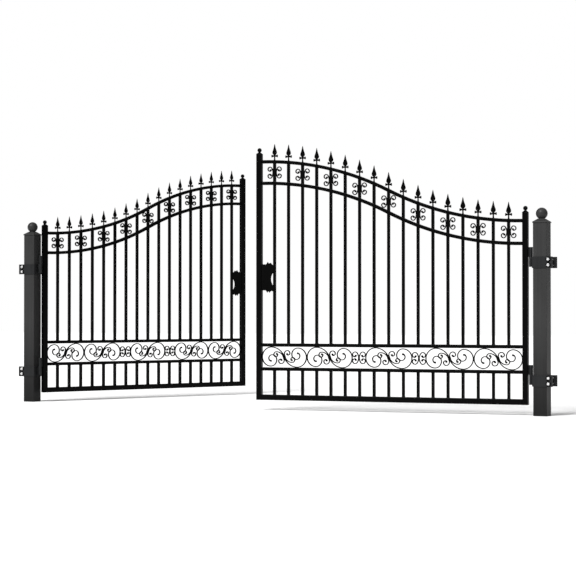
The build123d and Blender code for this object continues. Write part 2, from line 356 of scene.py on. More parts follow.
def make_piece(
    name: str, grids: list[np.ndarray], material: bpy.types.Material, sharp: float = 40.0
) -> bpy.types.Object:
    """Turns grids of points into one closed, outward-facing mesh object.

    Args:
        name: Name of the object.
        grids: Arrays of shape (copies, rings, points of a ring, 3). End rings that shrink to a point
            become poles.
        material: Finish of the piece.
        sharp: Angle in degrees over which an edge is shown sharp.

    Returns:
        The object, at the origin with its place in its mesh.
    """
    points, faces, used = [], [], 0
    for grid in grids:
        copies, rows, columns, _ = grid.shape
        points.append(grid.reshape(-1, 3))
        faces.append(ring_faces(copies, rows, columns) + used)
        used += copies * rows * columns
    mesh = bpy.data.meshes.new(name)
    mesh.from_pydata(np.concatenate(points), [], np.concatenate(faces))
    shape = bmesh.new()
    shape.from_mesh(mesh)
    bmesh.ops.remove_doubles(shape, verts=shape.verts, dist=SAME_POINT)
    bmesh.ops.recalc_face_normals(shape, faces=shape.faces)
    shape.to_mesh(mesh)
    shape.free()
    mesh.polygons.foreach_set("use_smooth", np.ones(len(mesh.polygons), dtype=bool))
    mesh.set_sharp_from_angle(angle=math.radians(sharp))
    mesh.materials.append(material)
    piece = bpy.data.objects.new(name, mesh)
    bpy.context.scene.collection.objects.link(piece)
    log.info("%s: %d faces", name, len(mesh.polygons))
    return piece


def turn_points(angle: np.ndarray, power: float) -> tuple[np.ndarray, np.ndarray]:
    """Points of a rounded section.

    Each point is (sign(cos a) |cos a|^p, sign(sin a) |sin a|^p): a circle for p = 1, a box with soft
    corners for a small p, a diamond for p = 2.

    Args:
        angle: Angles round the section.
        power: The power p.

    Returns:
        The two coordinates, from -1 to 1.
    """
    cosine, sine = np.cos(angle), np.sin(angle)
    return np.sign(cosine) * np.abs(cosine) ** power, np.sign(sine) * np.abs(sine) ** power


@dataclass
class BarPath:
    """Middle line of a bent bar in the plane of a leaf."""

    x: np.ndarray
    y: np.ndarray
    heading: np.ndarray

    @classmethod
    def bent(
        cls, start: tuple[float, float], heading: float, steps: Steps, sag: float = 0.00006
    ) -> "BarPath":
        """Follows straight runs and arcs.

        An arc of radius r turns the heading h by t in equal parts; a point on it is
        centre + r (sin h, -cos h), with the centre r to the left of the bar for a left turn.

        Args:
            start: First point.
            heading: First heading in radians.
            steps: Pairs (radius, turn in radians), or (length, 0) for a straight run.
            sag: How far the middle of a straight facet may leave its arc.

        Returns:
            The path.
        """
        here = np.array(start, dtype=float)
        runs = []
        for size, turn in steps:
            if turn == 0:
                angle = np.full(4, heading)
                run = np.linspace(0.0, size, len(angle))
                line = here + run[:, None] * np.array([math.cos(heading), math.sin(heading)])
            else:
                facets = math.ceil(abs(turn) / (2 * math.acos(1 - sag / size)))
                angle = heading + np.linspace(0.0, turn, facets + 1)
                reach = math.copysign(size, turn)
                centre = here + reach * np.array([-math.sin(heading), math.cos(heading)])
                line = centre + reach * np.stack([np.sin(angle), -np.cos(angle)], axis=-1)
            rows = np.column_stack([line, angle])
            runs.append(rows[1:] if runs else rows)
            here = line[-1]
            heading += turn
        table = np.concatenate(runs)
        return cls(table[:, 0], table[:, 1], table[:, 2])

    def mirrored(self) -> "BarPath":
        """From the end of this path's mirror image, through the start they share, to this path's end."""
        return self.led_by(BarPath(self.x, -self.y, -self.heading))

    def turned(self) -> "BarPath":
        """This path after half a turn about the origin."""
        return BarPath(-self.x, -self.y, self.heading + math.pi)

    def led_by(self, other: "BarPath") -> "BarPath":
        """One path from the end of another, which leaves the same point the other way, to this one's end."""
        return BarPath(
            np.concatenate([other.x[::-1], self.x[1:]]),
            np.concatenate([other.y[::-1], self.y[1:]]),
            np.concatenate([other.heading[::-1] + math.pi, self.heading[1:]]),
        )

    def length_from_start(self) -> np.ndarray:
        """Distance of each point from the start, along the path."""
        step = np.hypot(np.diff(self.x), np.diff(self.y))
        return np.concatenate([[0.0], np.cumsum(step)])


@dataclass(frozen=True)
class FlatBar:
    """Flat bar bent on edge, with softly rounded corners and hammered, swollen tips that end in a dome."""

    width: float = 0.006
    depth: float = 0.012
    coat: float = 0.0006
    corner: float = 0.32
    tip_swell: float = 1.0
    tip_length: float = 0.018
    tip_ease: float = 0.6
    tip_deepen: float = 0.2
    dome: float = 0.005
    dome_rings: int = 4
    around: int = 12

    def sweep(self, path: BarPath) -> np.ndarray:
        """Carries the section along a path.

        A point is path(t) + normal(t) w/2 s(t) c(a) in the plane of the leaf and d/2 f(t) e(a) across it,
        where (c, e) is the rounded section, w and d are the bar's sizes with its coat, s swells from 1 to
        1 + swell at a tip and f swells by a share of that. Past each end the path runs straight on by
        dome sin(b) while the section shrinks by cos(b), up to b = 90 degrees.

        Args:
            path: Middle line of the bar.

        Returns:
            Points of shape (rings, around, 3): along the leaf, up, across.
        """
        run = path.length_from_start()
        from_tip = np.minimum(run, run[-1] - run)
        swell = 1 + self.tip_swell * np.clip(1 - from_tip / self.tip_length, 0, 1) ** self.tip_ease
        turn = np.linspace(0, np.pi / 2, self.dome_rings + 1)[1:]
        reach, shrink = self.dome * np.sin(turn), np.cos(turn)
        ends = np.concatenate([-reach[::-1], np.zeros_like(run), reach])
        close = np.concatenate([shrink[::-1], np.ones_like(run), shrink])
        pad = (self.dome_rings, self.dome_rings)
        heading = np.pad(path.heading, pad, mode="edge")
        swell = np.pad(swell, pad, mode="edge")
        middle_x = np.pad(path.x, pad, mode="edge") + ends * np.cos(heading)
        middle_y = np.pad(path.y, pad, mode="edge") + ends * np.sin(heading)
        angle = np.linspace(0, 2 * np.pi, self.around, endpoint=False) + np.pi / self.around
        across, deep = turn_points(angle, self.corner)
        half = (self.width / 2 + self.coat) * (swell * close)[:, None] * across[None, :]
        x = middle_x[:, None] - np.sin(heading)[:, None] * half
        y = middle_y[:, None] + np.cos(heading)[:, None] * half
        deepen = 1 + (swell - 1) * self.tip_deepen
        z = (self.depth / 2 + self.coat) * (deepen * close)[:, None] * deep[None, :]
        return np.stack([x, y, z], axis=-1)


@dataclass
class LeafFrame:
    """Where a leaf stands: its hinge axis, its way along and its front."""

    side: Side
    axis_from_post: float = 0.081

    def __post_init__(self) -> None:
        """Reads the hinge axis and the leaf's direction from the solids."""
        post = np.array(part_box(f"{self.side.word}_post"))
        stile = np.array(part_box(f"{self.side.word}_meeting_stile"))
        self.hinge = post.mean(axis=0)[:2] + np.array([self.side.value * self.axis_from_post, 0.0])
        run = stile.mean(axis=0)[:2] - self.hinge
        self.along = run / np.linalg.norm(run)
        self.front = np.array([self.along[1], -self.along[0]]) * self.side.value
        self.body = f"{self.side.word}_leaf"

    def put(self, u: np.ndarray, v: np.ndarray, w: np.ndarray) -> np.ndarray:
        """Points u along the leaf from its hinge axis, v above the ground and w in front of its middle."""
        flat = self.hinge + u[..., None] * self.along + w[..., None] * self.front
        return np.concatenate([flat, v[..., None]], axis=-1)

    def node(self, name: str) -> str:
        """Full name of a solid or piece of this leaf."""
        return f"{self.side.word}_{name}"

    def carry(self, piece: bpy.types.Object, solid: str) -> None:
        """Rides a piece on this leaf in place of one of its solids.

        Args:
            piece: The piece.
            solid: The solid's name without the side.
        """
        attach(piece, self.body)
        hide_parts(self.node(solid))

    def span(self, name: str) -> tuple[float, float]:
        """Lowest and highest level of a solid of this leaf."""
        low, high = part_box(self.node(name))
        return low[2], high[2]


@dataclass
class LeafBars:
    """Sizes of a leaf's bars and the places that follow from them."""

    leaf: LeafFrame
    frame_tube: float = 0.040
    rail: float = 0.025
    picket: float = 0.020
    gap: float = 0.092
    count: int = 17
    stile_start: float = 0.019

    def __post_init__(self) -> None:
        """Works out the picket places and reads the arch's levels from the solids."""
        self.clear_start = self.stile_start + self.frame_tube
        self.clear_width = self.count * self.picket + (self.count + 1) * self.gap
        first = self.clear_start + self.gap + self.picket / 2
        self.places = first + np.arange(self.count) * (self.picket + self.gap)
        low, high = self.leaf.span("upper_arch_rail")
        self.rise = high - low - self.rail
        self.upper_level = low + self.rail / 2
        self.lower_level = self.leaf.span("lower_arch_rail")[0] + self.rail / 2
        half = self.clear_width / 2
        self.radius = (half**2 + (self.rise / 2) ** 2) / self.rise

    def arch(self, u: np.ndarray) -> np.ndarray:
        """Rise of an arch rail's middle line: R - sqrt(R^2 - run^2), then the same turned over."""
        run = u - self.clear_start
        back = self.clear_width - run
        low = self.radius - np.sqrt(self.radius**2 - np.minimum(run, back) ** 2)
        return np.where(run < back, low, self.rise - low)

    def slope(self, u: np.ndarray) -> np.ndarray:
        """Slope of an arch rail: run / sqrt(R^2 - run^2), with the run from the nearer end."""
        run = u - self.clear_start
        near = np.minimum(run, self.clear_width - run)
        return near / np.sqrt(self.radius**2 - near**2)


@dataclass
class SpearPoints:
    """Spear points on the upper arch rail: a thin neck, a cross bar with flared ends and a ridged blade."""

    bars: LeafBars
    outline: tuple[tuple[float, float, float], ...] = (
        (0.0090, -0.0040, 0.0085),
        (0.0068, 0.0025, 0.0066),
        (0.0056, 0.0080, 0.0056),
        (0.0052, 0.0240, 0.0052),
        (0.0060, 0.0300, 0.0056),
        (0.0082, 0.0380, 0.0062),
        (0.0110, 0.0415, 0.0067),
        (0.0152, 0.0460, 0.0070),
        (0.0182, 0.0520, 0.0071),
        (0.0190, 0.0580, 0.0070),
        (0.0172, 0.0660, 0.0067),
        (0.0126, 0.0785, 0.0060),
        (0.0082, 0.0920, 0.0050),
        (0.0052, 0.1050, 0.0040),
        (0.0026, 0.1170, 0.0024),
    )
    tip: float = 0.1238
    cross_level: float = 0.0310
    cross_depth: float = 0.7
    cross_half: tuple[tuple[float, float], ...] = (
        (0.0000, 0.0080),
        (0.0060, 0.0064),
        (0.0122, 0.0062),
        (0.0174, 0.0086),
        (0.0212, 0.0108),
        (0.0242, 0.0100),
        (0.0250, 0.0066),
    )
    round_cross: int = 12
    round_blade: int = 16
    ridge: float = 1.35

    def blade(self) -> tuple[np.ndarray, np.ndarray, np.ndarray]:
        """Neck and blade of one spear.

        A point is (X(s) c(a), Z(s), Y(s) e(a)): the half outline X, Z with its half depth Y turned round
        the upright axis on a section (c, e) between a circle and a diamond, so the blade has a ridge.

        Returns:
            Points along, above the rail and across, one row per ring.
        """
        shape = np.array(self.outline)
        angle = np.linspace(0, 2 * np.pi, self.round_blade, endpoint=False)
        across, deep = turn_points(angle, self.ridge)
        x = shape[:, 0][:, None] * across[None, :]
        y = shape[:, 2][:, None] * deep[None, :]
        z = np.broadcast_to(shape[:, 1][:, None], x.shape)
        x = np.concatenate([x[:1] * 0, x, x[-1:] * 0])
        y = np.concatenate([y[:1] * 0, y, y[-1:] * 0])
        return x, np.concatenate([z[:1], z, z[-1:] * 0 + self.tip]), y

    def cross_bar(self) -> tuple[np.ndarray, np.ndarray, np.ndarray]:
        """Cross bar of one spear, a turned bar with flared ends: (x, r(x) sin a, d r(x) cos a).

        Returns:
            Points along, above the rail and across, one row per ring.
        """
        half = np.array(self.cross_half)
        shape = np.concatenate([half[:0:-1] * (-1, 1), half])
        angle = np.linspace(0, 2 * np.pi, self.round_cross, endpoint=False)
        radius = np.concatenate([[0.0], shape[:, 1], [0.0]])[:, None]
        run = np.concatenate([shape[:1, 0], shape[:, 0], shape[-1:, 0]])[:, None]
        up = self.cross_level + radius * np.sin(angle)
        return np.broadcast_to(run, up.shape), up, self.cross_depth * radius * np.cos(angle)

    def build(self, material: bpy.types.Material) -> None:
        """Makes all the spears of a leaf as one piece and rides it on the leaf.

        Args:
            material: Finish of the spears.
        """
        leaf, places = self.bars.leaf, self.bars.places[:, None, None]
        seat = self.bars.upper_level + self.bars.arch(places) + self.bars.rail / 2
        grids = []
        for x, z, y in (self.blade(), self.cross_bar()):
            u = places + x[None]
            grids.append(leaf.put(u, seat + z[None], np.broadcast_to(y[None], u.shape)))
        leaf.carry(make_piece(leaf.node("spear_heads"), grids, material, sharp=50.0), "spear_points")


@dataclass
class Scrollwork:
    """Scrolls of a leaf: Cs beside the pickets of the arch, and S-scrolls with C pairs in the lower band."""

    bars: LeafBars
    bar: FlatBar = field(default_factory=FlatBar)
    seat: float = 0.0003
    arch_c_height: float = 0.090
    arch_c_quarters: tuple[float, ...] = (0.023, 0.017, 0.013, 0.009)
    band_c_height: float = 0.092
    band_c_quarters: tuple[float, ...] = (0.027, 0.020, 0.015, 0.010)
    bow_turn: float = math.radians(36)
    pair_weld: float = 0.001
    spiral: tuple[float, ...] = (0.068, 0.048, 0.037, 0.027, 0.019)
    branch_lead: float = 0.060
    branch_curl: tuple[float, ...] = (0.021, 0.017, 0.013, 0.009)
    tail_lead: float = 0.050
    tail_curl: tuple[float, ...] = (0.024, 0.020, 0.013, 0.009)
    tail_straight: float = 0.008
    collar_length: float = 0.034
    collar_overlap: float = 0.003
    collar_rings: int = 9
    s_count: int = 5
    pair_after: tuple[int, ...] = (1, 2)

    def __post_init__(self) -> None:
        """Shares the lower band out between the S-scrolls and the C pairs."""
        leaf = self.bars.leaf
        self.floor = leaf.span("band_bottom_rail")[1]
        self.ceiling = leaf.span("band_top_rail")[0]
        width = self.bar.width
        self.s_radius = (self.ceiling - self.floor - width) / 2 - self.seat
        self.pair_back = (width - self.pair_weld) / 2
        curl_height = (self.band_c_height - width) / 2 - self.band_c_quarters[1]
        touch = self.band_c_quarters[1] + self.s_radius + width + self.seat
        reach = math.sqrt(touch**2 - curl_height**2)
        pair_half = self.pair_back + self.band_c_quarters[0] + reach - self.s_radius - width / 2 - self.seat
        unit = (self.bars.clear_width - 2 * pair_half * len(self.pair_after)) / self.s_count
        half_run = unit / 2 - self.s_radius - width / 2 - self.seat
        self.lean = 2 * math.atan2(self.s_radius, half_run)
        self.lead = half_run / math.sin(self.lean)
        widths = [unit + (2 * pair_half if i in self.pair_after else 0.0) for i in range(self.s_count)]
        starts = self.bars.clear_start + np.concatenate([[0.0], np.cumsum(widths)[:-1]])
        self.s_places = starts + unit / 2
        self.pair_places = starts[list(self.pair_after)] + unit + pair_half
        self.middle = (self.floor + self.ceiling) / 2

    @staticmethod
    def curl(quarters: tuple[float, ...], way: int) -> Steps:
        """Quarter turns of these radii, to the left for way 1 and to the right for way -1."""
        return [(radius, way * math.pi / 2) for radius in quarters]

    def c_path(self, back: float, height: float, quarters: tuple[float, ...]) -> BarPath:
        """Middle line of an upright C that opens towards +x, its back a bow that ends in two curls.

        Half its height H and its reach A from the back to the top of a curl are met by a bow of radius R
        through the turn t and a shoulder of radius r through the rest of the quarter turn:
        R sin t + r (1 - sin t) = H and R (1 - cos t) + r cos t = A.

        Args:
            back: Distance of the back's middle from the y axis.
            height: Height over the bar's outer faces.
            quarters: The reach A, then the radii of the curl's quarter turns.

        Returns:
            The path, from the lower tip to the upper one.
        """
        turn, half_height = self.bow_turn, (height - self.bar.width) / 2
        lean = math.tan(turn / 2)
        shoulder = (quarters[0] - half_height * lean) / (math.cos(turn) - (1 - math.sin(turn)) * lean)
        bow = (half_height - shoulder * (1 - math.sin(turn))) / math.sin(turn)
        steps = [(bow, -turn), (shoulder, turn - math.pi / 2), *self.curl(quarters[1:], -1)]
        return BarPath.bent((back, 0.0), math.pi / 2, steps).mirrored()

    def s_paths(self) -> list[BarPath]:
        """Middle lines of an S-scroll: the spine with its two spirals, and a branch bar on each side."""
        spine = math.pi + self.lean
        beside = (-math.sin(spine) * self.bar.width, math.cos(spine) * self.bar.width)
        main = [(self.lead, -self.lean), *self.curl((self.s_radius, *self.spiral), -1)]
        rise = [(self.branch_lead, -self.lean), *self.curl(self.branch_curl, -1)]
        fall = [
            (self.tail_straight, 0.0),
            (self.tail_lead, math.pi / 2 - self.lean),
            *self.curl(self.tail_curl, 1),
        ]
        half = BarPath.bent((0.0, 0.0), spine, main)
        branch = BarPath.bent(beside, spine, fall).led_by(BarPath.bent(beside, spine - math.pi, rise))
        return [half.led_by(half.turned()), branch, branch.turned()]

    def copies(self, shape: np.ndarray, u: np.ndarray, v: np.ndarray, flip: float = 1.0) -> np.ndarray:
        """Sets copies of a swept bar on the leaf.

        Args:
            shape: Points of one bar: along, up, across.
            u: Places of the copies along the leaf.
            v: Levels of the copies.
            flip: -1 to turn the copies left to right.

        Returns:
            Points of shape (copies, rings, around, 3) in the shared frame.
        """
        along = u[:, None, None] + flip * shape[None, :, :, 0]
        up = v[:, None, None] + shape[None, :, :, 1]
        across = np.broadcast_to(shape[None, :, :, 2], along.shape)
        return self.bars.leaf.put(along, up, across)

    def build(self, material: bpy.types.Material) -> None:
        """Makes the three pieces of scrollwork and rides them on the leaf.

        Args:
            material: Finish of the scrolls.
        """
        self.build_arch(material)
        leaf = self.bars.leaf
        band = np.full_like(self.s_places, self.middle)
        swept = [self.bar.sweep(path) for path in self.s_paths()]
        grids = [self.copies(shape, self.s_places, band) for shape in (*swept, self.collar())]
        leaf.carry(make_piece(leaf.node("band_spirals"), grids, material), "band_s_scrolls")

        band = np.full_like(self.pair_places, self.middle)
        c_bar = self.bar.sweep(self.c_path(self.pair_back, self.band_c_height, self.band_c_quarters))
        pairs = [self.copies(c_bar, self.pair_places, band, way) for way in (1.0, -1.0)]
        leaf.carry(make_piece(leaf.node("band_pairs"), pairs, material), "band_c_scrolls")

    def build_arch(self, material: bpy.types.Material) -> None:
        """Makes the Cs on both sides of every second picket, midway between the arch rails.

        Args:
            material: Finish of the scrolls.
        """
        bars = self.bars
        u = bars.places[::2]
        level = (bars.upper_level + bars.lower_level) / 2 + bars.arch(u)
        c_bar = self.bar.sweep(self.c_path(self.bar.width / 2, self.arch_c_height, self.arch_c_quarters))
        grids = [self.copies(c_bar, u + way * bars.picket / 2, level, way) for way in (1.0, -1.0)]
        bars.leaf.carry(make_piece(bars.leaf.node("arch_scrolls"), grids, material), "arch_c_scrolls")

    def collar(self) -> np.ndarray:
        """The pressed collar round the middle of an S: a fat bar along the spine, pinched at both ends."""
        spine = math.pi + self.lean
        way = np.array([math.cos(spine), math.sin(spine)])
        run = np.linspace(-0.5, 0.5, self.collar_rings) * self.collar_length
        path = BarPath(run * way[0], run * way[1], np.full_like(run, spine))
        fat = FlatBar(
            width=3 * self.bar.width + self.collar_overlap,
            depth=self.bar.depth + 2 * self.collar_overlap,
            corner=0.45,
            tip_swell=-0.16,
            tip_length=0.007,
            dome=0.002,
            around=16,
        )
        return fat.sweep(path)


@dataclass
class FilletWelds:
    """Fillet welds where the pickets meet the rails and the rails meet the stiles."""

    bars: LeafBars
    picket_throat: float = 0.0032
    rail_throat: float = 0.0020
    pressed: float = 0.8
    corner: float = 0.28
    round_bar: int = 12
    round_bead: int = 4

    def bead(self, size: float, throat: float) -> tuple[np.ndarray, np.ndarray, np.ndarray]:
        """One bead round a square bar.

        Its middle line is the bar's outline with soft corners. Its section is a circle of the throat's size,
        pressed against the bar: out = size / 2 + pressed throat cos b, along = throat sin b.

        Args:
            size: Width of the bar.
            throat: Size of the bead.

        Returns:
            Two coordinates across the bar and one along it, one row per step round the bar.
        """
        angle = np.linspace(0, 2 * np.pi, self.round_bar + 1) + np.pi / self.round_bar
        section = np.linspace(0, 2 * np.pi, self.round_bead, endpoint=False)
        across, deep = turn_points(angle, self.corner)
        out = size / 2 + self.pressed * throat * np.cos(section)
        along = np.broadcast_to(throat * np.sin(section), (len(angle), self.round_bead))
        return across[:, None] * out, deep[:, None] * out, along

    def on_pickets(self, level: np.ndarray, slope: np.ndarray) -> np.ndarray:
        """Beads round the pickets at one rail, on its slope: v = level + slope (u - place).

        Args:
            level: Level of the rail's face at each picket.
            slope: Slope of the rail at each picket.

        Returns:
            Points of shape (pickets, ring, bead, 3) in the shared frame.
        """
        x, w, z = self.bead(self.bars.picket, self.picket_throat)
        u = self.bars.places[:, None, None] + x[None]
        v = level[:, None, None] + z[None] + slope[:, None, None] * x[None]
        return self.bars.leaf.put(u, v, np.broadcast_to(w[None], u.shape))

    def on_rail(self, size: float, at_hinge: float, at_meeting: float) -> np.ndarray:
        """Beads at both ends of a rail, upright against the stiles.

        Args:
            size: Width of the rail.
            at_hinge: Level of the rail's middle at the hinge stile.
            at_meeting: Level of the rail's middle at the meeting stile.

        Returns:
            Points of shape (2, ring, bead, 3) in the shared frame.
        """
        y, w, z = self.bead(size, self.rail_throat)
        ends = self.bars.clear_start + np.array([0.0, self.bars.clear_width])
        u = ends[:, None, None] + z[None]
        v = np.array([at_hinge, at_meeting])[:, None, None] + y[None]
        return self.bars.leaf.put(u, v, np.broadcast_to(w[None], u.shape))

    def build(self, material: bpy.types.Material) -> None:
        """Makes all the welds of a leaf as one piece and rides it on the leaf.

        Args:
            material: Finish of the welds.
        """
        bars, leaf, places = self.bars, self.bars.leaf, self.bars.places
        level = np.zeros_like(places)
        slope = bars.slope(places)
        arch = bars.arch(places)
        lift = bars.rail / 2 * np.sqrt(1 + slope**2)
        joints = [
            (level + leaf.span("bottom_rail")[1], level),
            (level + leaf.span("band_bottom_rail")[0], level),
            (level + leaf.span("band_top_rail")[1], level),
            (bars.lower_level + arch - lift, slope),
            (bars.lower_level + arch + lift, slope),
            (bars.upper_level + arch - lift, slope),
        ]
        grids = [self.on_pickets(*joint) for joint in joints]
        for name in ("bottom_rail", "band_bottom_rail", "band_top_rail"):
            low, high = leaf.span(name)
            grids.append(self.on_rail(high - low, (low + high) / 2, (low + high) / 2))
        for middle in (bars.lower_level, bars.upper_level):
            grids.append(self.on_rail(bars.rail, middle, middle + bars.rise))
        piece = make_piece(leaf.node("welds"), grids, material, sharp=100.0)
        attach(piece, leaf.body)


@dataclass
class LockPlate:
    """Plate between the meeting stile and the last picket, scalloped above and below, with a crescent cut."""

    bars: LeafBars
    thickness: float = 0.005
    rim: float = 0.0014
    half_size: float = 0.07
    spacing: float = 0.0022
    heart: tuple[float, float] = (0.030, -0.014)
    outline: tuple[tuple[float, float], ...] = (
        (0.000, -0.098),
        (0.026, -0.098),
        (0.036, -0.099),
        (0.041, -0.105),
        (0.047, -0.116),
        (0.053, -0.108),
        (0.059, -0.106),
        (0.066, -0.117),
        (0.073, -0.107),
        (0.082, -0.101),
        (0.092, -0.107),
        (0.101, -0.094),
        (0.102, -0.070),
        (0.092, -0.059),
        (0.084, -0.045),
        (0.0792, -0.030),
        (0.0778, -0.014),
        (0.0792, 0.002),
        (0.084, 0.017),
        (0.092, 0.031),
        (0.102, 0.042),
        (0.102, 0.080),
        (0.092, 0.093),
        (0.084, 0.098),
        (0.076, 0.110),
        (0.068, 0.106),
        (0.058, 0.105),
        (0.051, 0.117),
        (0.045, 0.106),
        (0.038, 0.097),
        (0.026, 0.098),
        (0.000, 0.098),
    )

    def edge(self) -> np.ndarray:
        """The outline at even steps, each point averaged with its neighbours to ease the corners."""
        corner = np.array(self.outline + self.outline[:1])
        run = np.concatenate([[0.0], np.cumsum(np.hypot(*np.diff(corner, axis=0).T))])
        place = np.linspace(0.0, run[-1], round(run[-1] / self.spacing), endpoint=False)
        line = np.stack([np.interp(place, run, corner[:, 0]), np.interp(place, run, corner[:, 1])], axis=-1)
        return (np.roll(line, 1, axis=0) + 2 * line + np.roll(line, -1, axis=0)) / 4

    def build(self, material: bpy.types.Material) -> None:
        """Makes the plate and rides it on the leaf.

        A point is heart + k (edge(t) - heart), with k and the height over the picket's front taken from a
        rim profile: flat back, upright side, chamfer and flat front.

        Args:
            material: Finish of the plate.
        """
        leaf, edge, heart = self.bars.leaf, self.edge(), np.array(self.heart)
        inset = 1 - self.rim / self.half_size
        profile = np.array(
            [
                (0.0, 0.0),
                (1.0, 0.0),
                (1.0, self.thickness - self.rim),
                (inset, self.thickness),
                (0.0, self.thickness),
            ]
        )
        flat = heart + profile[:, 0][:, None, None] * (edge[None] - heart)
        low, high = leaf.span("lock_plate")
        u = self.bars.clear_start + self.bars.clear_width - flat[..., 0]
        v = (low + high) / 2 + flat[..., 1]
        w = np.broadcast_to(self.bars.picket / 2 + profile[:, 1][:, None], u.shape)
        grids = [leaf.put(u, v, w)[None]]
        leaf.carry(make_piece(leaf.node("lock_escutcheon"), grids, material, sharp=12.0), "lock_plate")


@dataclass
class ClampBolts:
    """Two long hexagon bolts across the legs of each hinge clamp, with washers, nuts and near-black round
    pads: partly a plate under the bolts, partly painted shade round them.
    """

    side: Side
    from_post: float = 0.0645
    levels: tuple[float, ...] = (0.020, 0.060)
    shank: float = 0.010
    flats: float = 0.017
    head: float = 0.0064
    washer: float = 0.020
    washer_thickness: float = 0.0020
    washer_ease: float = 0.0006
    nut: float = 0.008
    spare_thread: float = 0.007
    thread_chamfer: float = 0.001
    chamfer: float = 0.0010
    chamfer_end: float = 0.0014
    head_top: float = 0.93
    nut_top: float = 0.90
    # The pads are near black: partly a plate under the bolts, partly painted shade round the bolt heads.
    pad: float = 0.038
    shade_pad_thickness: float = 0.002
    shade_pad_ease: float = 0.0005
    around: int = 36

    def profile(self, length: float) -> np.ndarray:
        """Radius, place along the bolt and six-sidedness, from the head's top to the thread's end.

        Args:
            length: Distance between the outer faces of the front and back pads.

        Returns:
            One row per ring: radius, place from the front pad's face backwards, six-sidedness from 0 to 1.
        """
        hexagon, washer, shank = self.flats / 2, self.washer / 2, self.shank / 2
        ease, thread = self.washer_ease, self.thread_chamfer
        front = -self.washer_thickness
        top = front - self.head
        back = length + self.washer_thickness
        far = back + self.nut
        end = far + self.spare_thread
        return np.array(
            [
                (0.0, top, 0.0),
                (hexagon * self.head_top, top, 0.0),
                (hexagon, top + self.chamfer, 0.0),
                (hexagon, top + self.chamfer_end, 1.0),
                (hexagon, front, 1.0),
                (washer - ease, front, 0.0),
                (washer, front + ease, 0.0),
                (washer, 0.0, 0.0),
                (shank, 0.0, 0.0),
                (shank, length, 0.0),
                (washer, length, 0.0),
                (washer, back - ease, 0.0),
                (washer - ease, back, 0.0),
                (hexagon, back, 1.0),
                (hexagon, far - self.chamfer_end, 1.0),
                (hexagon, far - self.chamfer, 0.0),
                (hexagon * self.nut_top, far, 0.0),
                (shank, far, 0.0),
                (shank, end - thread, 0.0),
                (shank - thread, end, 0.0),
                (0.0, end, 0.0),
            ]
        )

    def shade_pad_profile(self) -> np.ndarray:
        """Rings of a pad with eased edges, in the columns of a bolt's rings."""
        radius, thick, ease = self.pad / 2, self.shade_pad_thickness, self.shade_pad_ease
        return np.array(
            [
                (0.0, 0.0, 0.0),
                (radius - ease, 0.0, 0.0),
                (radius, ease, 0.0),
                (radius, thick - ease, 0.0),
                (radius - ease, thick, 0.0),
                (0.0, thick, 0.0),
            ]
        )

    def spun(self, profile: np.ndarray, middle: float, face: float, top: float) -> np.ndarray:
        """Spins a profile about the line of each bolt of a clamp.

        A ring's radius is r where it is round, and r / cos(a mod 60 degrees, from the middle of a flat)
        where it is six-sided.

        Args:
            profile: One row per ring: radius, place, six-sidedness.
            middle: The bolts' place across the post.
            face: Where the profile's places start, front to back.
            top: Height from which the bolts' levels are taken down.

        Returns:
            One grid per bolt.
        """
        angle = np.linspace(0, 2 * np.pi, self.around, endpoint=False)
        flat = 1 / np.cos(np.mod(angle + np.pi / 6, np.pi / 3) - np.pi / 6)
        radius = profile[:, 0][:, None] * (1 + (flat[None, :] - 1) * profile[:, 2][:, None])
        x = middle + radius * np.cos(angle)
        y = np.broadcast_to(face + profile[:, 1][:, None], x.shape)
        z = top - np.array(self.levels)[:, None, None] + (radius * np.sin(angle))[None]
        return np.stack(np.broadcast_arrays(x[None], y[None], z), axis=-1)

    def build(self, zinc: bpy.types.Material, coat: bpy.types.Material) -> None:
        """Makes the four bolts of a post as one piece and their dark pads, partly painted shade, as another,
        both riding on the posts.

        Args:
            zinc: Finish of the bolts.
            coat: Finish of the pads, the near-black leaf coat, which also paints shade round the bolts.
        """
        bolts: list[np.ndarray] = []
        shade_pads: list[np.ndarray] = []
        for height in ("upper", "lower"):
            low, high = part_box(f"{self.side.word}_{height}_hinge_clamp")
            post_low, post_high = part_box(f"{self.side.word}_post")
            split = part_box(f"{self.side.word}_{height}_hinge_knuckle")[0][2]
            middle = (post_low[0] + post_high[0]) / 2 - self.side.value * self.from_post
            front, back = low[1] - self.shade_pad_thickness, high[1]
            bolts.append(self.spun(self.profile(back + self.shade_pad_thickness - front), middle, front, split))
            # The near-black pads at front and back also paint the shade round each bolt head.
            shade_pads += [self.spun(self.shade_pad_profile(), middle, face, split) for face in (front, back)]
        for name, grids, finish in (("clamp_bolts", bolts, zinc), ("clamp_shade_pads", shade_pads, coat)):
            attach(make_piece(f"{self.side.word}_{name}", grids, finish, sharp=25.0), "posts")


